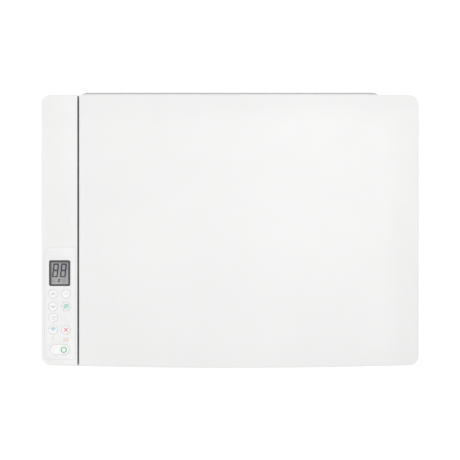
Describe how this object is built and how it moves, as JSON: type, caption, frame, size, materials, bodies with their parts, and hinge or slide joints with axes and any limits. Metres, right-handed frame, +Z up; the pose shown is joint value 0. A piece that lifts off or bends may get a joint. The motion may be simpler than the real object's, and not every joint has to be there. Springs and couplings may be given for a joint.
{
  "type": "inkjet printer",
  "caption": "Low white flatbed all-in-one inkjet printer with a lid, a narrow control strip with a segment display, a front paper tray and a rear sheet feeder.",
  "frame": {"origin": "on the standing surface, under the middle of the body's bounding box", "axes": "+X to the user's right, +Y to the rear, +Z up"},
  "size_m": [0.425, 0.3108, 0.1502],
  "materials": {
    "white_shell": "fine spark-eroded white moulding",
    "lid_white": "fine satin white moulding",
    "panel_film": "thin satin film",
    "display_window": "clear window over a grey segment display",
    "button_white": "satin white cap",
    "scan_glass": "clear float glass",
    "liner": "white foam-backed sheet",
    "dark_frame": "fine black moulding",
    "grey_tray": "fine light grey moulding",
    "steel": "zinc plated sheet and turned shafts",
    "polished_rod": "ground and polished rod",
    "rubber": "matte rubber",
    "gear_white": "natural acetal",
    "brass": "turned brass",
    "circuit": "green solder mask",
    "motor_can": "zinc plated can",
    "ink_black": "black cartridge",
    "ink_color": "dark cartridge with a blue band",
    "belt_rubber": "ribbed belt",
    "clear_film": "printed clear film"
  },
  "bodies": {
    "body": {"base_pan": "white_shell", "feet": "rubber", "main_case": "white_shell", "scanner_tub": "white_shell", "scanner_bezel": "white_shell", "control_overlay": "panel_film", "display_module": "display_window", "panel_board": "circuit", "scanner_glass": "scan_glass", "scan_rod": "polished_rod", "paper_ramp": "dark_frame", "chassis": "steel", "platen": "dark_frame", "carriage_rod": "polished_rod", "carriage_belt": "belt_rubber", "carriage_motor": "motor_can", "encoder_strip": "clear_film", "feed_motor": "motor_can", "service_station": "dark_frame", "main_board": "circuit", "power_supply": "dark_frame", "power_inlet": "dark_frame", "screws": "steel"},
    "lid_hinges": {"lid_hinge_posts": "grey_tray"},
    "lid": {"lid_shell": "lid_white", "lid_liner": "liner"},
    "cartridge_door": {"cartridge_door": "white_shell"},
    "output_tray": {"output_tray": "grey_tray"},
    "tray_extender": {"tray_extender": "grey_tray"},
    "tray_stop": {"tray_stop": "grey_tray"},
    "rear_tray": {"rear_tray": "white_shell"},
    "rear_tray_extension": {"rear_tray_extension": "white_shell"},
    "paper_guide_left": {"paper_guide_left": "grey_tray"},
    "paper_guide_right": {"paper_guide_right": "grey_tray"},
    "guide_pinion": {"guide_pinion": "gear_white"},
    "carriage": {"carriage": "dark_frame"},
    "cartridge_black": {"cartridge_black": "ink_black"},
    "cartridge_color": {"cartridge_color": "ink_color"},
    "carriage_pulley": {"carriage_pulley": "brass"},
    "belt_idler": {"belt_idler": "gear_white"},
    "feed_roller": {"feed_roller": "rubber"},
    "feed_pinion": {"feed_pinion": "brass"},
    "transfer_gear": {"transfer_gear": "gear_white"},
    "output_roller": {"output_roller": "rubber"},
    "star_wheels": {"star_wheels": "dark_frame"},
    "pinch_rollers": {"pinch_rollers": "dark_frame"},
    "pickup_roller": {"pickup_roller": "rubber"},
    "pickup_gear": {"pickup_gear": "gear_white"},
    "cap_sled": {"cap_sled": "grey_tray"},
    "scan_head": {"scan_head": "dark_frame", "scan_motor": "motor_can"},
    "scan_pinion": {"scan_pinion": "gear_white"},
    "button_up": {"button_up": "button_white"},
    "button_down": {"button_down": "button_white"},
    "button_menu": {"button_menu": "button_white"},
    "button_color_copy": {"button_color_copy": "button_white"},
    "button_mono_copy": {"button_mono_copy": "button_white"},
    "button_wireless": {"button_wireless": "button_white"},
    "button_cancel": {"button_cancel": "button_white"},
    "power_button": {"power_button": "button_white"}
  },
  "joints": [
    {"name": "lid_lift", "type": "slide", "parent": "body", "child": "lid_hinges", "axis": [0, 0, 1], "range_m": [0, 0.01]},
    {"name": "lid_open", "type": "hinge", "parent": "lid_hinges", "child": "lid", "pos_m": [0.02, 0.146, 0.1417], "axis": [-1, 0, 0], "range_deg": [0, 85]},
    {"name": "door_open", "type": "hinge", "parent": "body", "child": "cartridge_door", "pos_m": [0, -0.149, 0.0655], "axis": [1, 0, 0], "range_deg": [0, 85]},
    {"name": "output_tray_slide", "type": "slide", "parent": "body", "child": "output_tray", "axis": [0, -1, 0], "range_m": [0, 0.11]},
    {"name": "extender_slide", "type": "slide", "parent": "output_tray", "child": "tray_extender", "axis": [0, -1, 0], "range_m": [0, 0.075]},
    {"name": "tray_stop_fold", "type": "hinge", "parent": "tray_extender", "child": "tray_stop", "pos_m": [0, -0.1525, 0.0098], "axis": [1, 0, 0], "range_deg": [0, 80]},
    {"name": "rear_tray_tilt", "type": "hinge", "parent": "body", "child": "rear_tray", "pos_m": [0, 0.1495, 0.047], "axis": [-1, 0, 0], "range_deg": [0, 30]},
    {"name": "extension_slide", "type": "slide", "parent": "rear_tray", "child": "rear_tray_extension", "axis": [0, 0, 1], "range_m": [0, 0.068]},
    {"name": "guide_left_slide", "type": "slide", "parent": "rear_tray", "child": "paper_guide_left", "axis": [1, 0, 0], "range_m": [0, 0.055]},
    {"name": "guide_right_slide", "type": "slide", "parent": "rear_tray", "child": "paper_guide_right", "axis": [-1, 0, 0], "range_m": [0, 0.055]},
    {"name": "guide_pinion_spin", "type": "hinge", "parent": "rear_tray", "child": "guide_pinion", "pos_m": [0, 0.1486, 0.06], "axis": [0, -1, 0], "range_deg": [-1, 526.21]},
    {"name": "carriage_slide", "type": "slide", "parent": "body", "child": "carriage", "axis": [-1, 0, 0], "range_m": [0, 0.276]},
    {"name": "cartridge_black_release", "type": "slide", "parent": "carriage", "child": "cartridge_black", "axis": [0, -0.7071, 0.7071], "range_m": [0, 0.015]},
    {"name": "cartridge_color_release", "type": "slide", "parent": "carriage", "child": "cartridge_color", "axis": [0, -0.7071, 0.7071], "range_m": [0, 0.015]},
    {"name": "pulley_spin", "type": "hinge", "parent": "body", "child": "carriage_pulley", "pos_m": [-0.157, 0.088, 0.087], "axis": [0, 0, -1], "range_deg": [-2, 2903.58]},
    {"name": "idler_spin", "type": "hinge", "parent": "body", "child": "belt_idler", "pos_m": [0.189, 0.088, 0.087], "axis": [0, 0, -1], "range_deg": [-2, 2903.58]},
    {"name": "feed_roller_spin", "type": "hinge", "parent": "body", "child": "feed_roller", "pos_m": [0, 0.052, 0.048], "axis": [1, 0, 0], "continuous": true},
    {"name": "feed_pinion_spin", "type": "hinge", "parent": "body", "child": "feed_pinion", "pos_m": [0, 0.062, 0.024], "axis": [1, 0, 0], "continuous": true},
    {"name": "transfer_gear_spin", "type": "hinge", "parent": "body", "child": "transfer_gear", "pos_m": [0, 0.009, 0.048], "axis": [1, 0, 0], "continuous": true},
    {"name": "output_roller_spin", "type": "hinge", "parent": "body", "child": "output_roller", "pos_m": [0, -0.034, 0.048], "axis": [1, 0, 0], "continuous": true},
    {"name": "star_wheels_spin", "type": "hinge", "parent": "body", "child": "star_wheels", "pos_m": [0, -0.034, 0.0613], "axis": [1, 0, 0], "continuous": true},
    {"name": "pinch_rollers_spin", "type": "hinge", "parent": "body", "child": "pinch_rollers", "pos_m": [0, 0.052, 0.0593], "axis": [1, 0, 0], "continuous": true},
    {"name": "pickup_gear_spin", "type": "hinge", "parent": "body", "child": "pickup_gear", "pos_m": [0, 0.09025, 0.05969], "axis": [1, 0, 0], "continuous": true},
    {"name": "pickup_roller_spin", "type": "hinge", "parent": "body", "child": "pickup_roller", "pos_m": [0, 0.12277, 0.06964], "axis": [1, 0, 0], "continuous": true},
    {"name": "cap_sled_drop", "type": "slide", "parent": "body", "child": "cap_sled", "axis": [0, 0, -1], "range_m": [0, 0.005], "stiffness_N_per_m": 150, "springref_m": -0.004},
    {"name": "scan_head_slide", "type": "slide", "parent": "body", "child": "scan_head", "axis": [-1, 0, 0], "range_m": [0, 0.306]},
    {"name": "scan_pinion_spin", "type": "hinge", "parent": "scan_head", "child": "scan_pinion", "pos_m": [0.174, 0.127, 0.117], "axis": [0, -1, 0], "range_deg": [-2, 2924.09]},
    {"name": "button_up_press", "type": "slide", "parent": "body", "child": "button_up", "axis": [0, 0, -1], "range_m": [0, 0.0008], "stiffness_N_per_m": 400, "springref_m": -0.0005},
    {"name": "button_down_press", "type": "slide", "parent": "body", "child": "button_down", "axis": [0, 0, -1], "range_m": [0, 0.0008], "stiffness_N_per_m": 400, "springref_m": -0.0005},
    {"name": "button_menu_press", "type": "slide", "parent": "body", "child": "button_menu", "axis": [0, 0, -1], "range_m": [0, 0.0008], "stiffness_N_per_m": 400, "springref_m": -0.0005},
    {"name": "button_color_copy_press", "type": "slide", "parent": "body", "child": "button_color_copy", "axis": [0, 0, -1], "range_m": [0, 0.0008], "stiffness_N_per_m": 400, "springref_m": -0.0005},
    {"name": "button_mono_copy_press", "type": "slide", "parent": "body", "child": "button_mono_copy", "axis": [0, 0, -1], "range_m": [0, 0.0008], "stiffness_N_per_m": 400, "springref_m": -0.0005},
    {"name": "button_wireless_press", "type": "slide", "parent": "body", "child": "button_wireless", "axis": [0, 0, -1], "range_m": [0, 0.0008], "stiffness_N_per_m": 400, "springref_m": -0.0005},
    {"name": "button_cancel_press", "type": "slide", "parent": "body", "child": "button_cancel", "axis": [0, 0, -1], "range_m": [0, 0.0008], "stiffness_N_per_m": 400, "springref_m": -0.0005},
    {"name": "power_button_press", "type": "slide", "parent": "body", "child": "power_button", "axis": [0, 0, -1], "range_m": [0, 0.0008], "stiffness_N_per_m": 400, "springref_m": -0.0005}
  ],
  "couplings": [
    {"joint": "guide_right_slide", "follows": "guide_left_slide", "ratio": 1},
    {"joint": "guide_pinion_spin", "follows": "guide_left_slide", "rad_per_m": 166.67},
    {"joint": "pulley_spin", "follows": "carriage_slide", "rad_per_m": 183.49},
    {"joint": "idler_spin", "follows": "carriage_slide", "rad_per_m": 183.49},
    {"joint": "feed_pinion_spin", "follows": "feed_roller_spin", "ratio": -3.3333},
    {"joint": "transfer_gear_spin", "follows": "feed_roller_spin", "ratio": -0.86957},
    {"joint": "output_roller_spin", "follows": "feed_roller_spin", "ratio": 1},
    {"joint": "star_wheels_spin", "follows": "feed_roller_spin", "ratio": -1.1833},
    {"joint": "pinch_rollers_spin", "follows": "feed_roller_spin", "ratio": -1.75},
    {"joint": "pickup_gear_spin", "follows": "feed_roller_spin", "ratio": -1},
    {"joint": "pickup_roller_spin", "follows": "feed_roller_spin", "ratio": 1.4286},
    {"joint": "scan_pinion_spin", "follows": "scan_head_slide", "rad_per_m": 166.67}
  ]
}
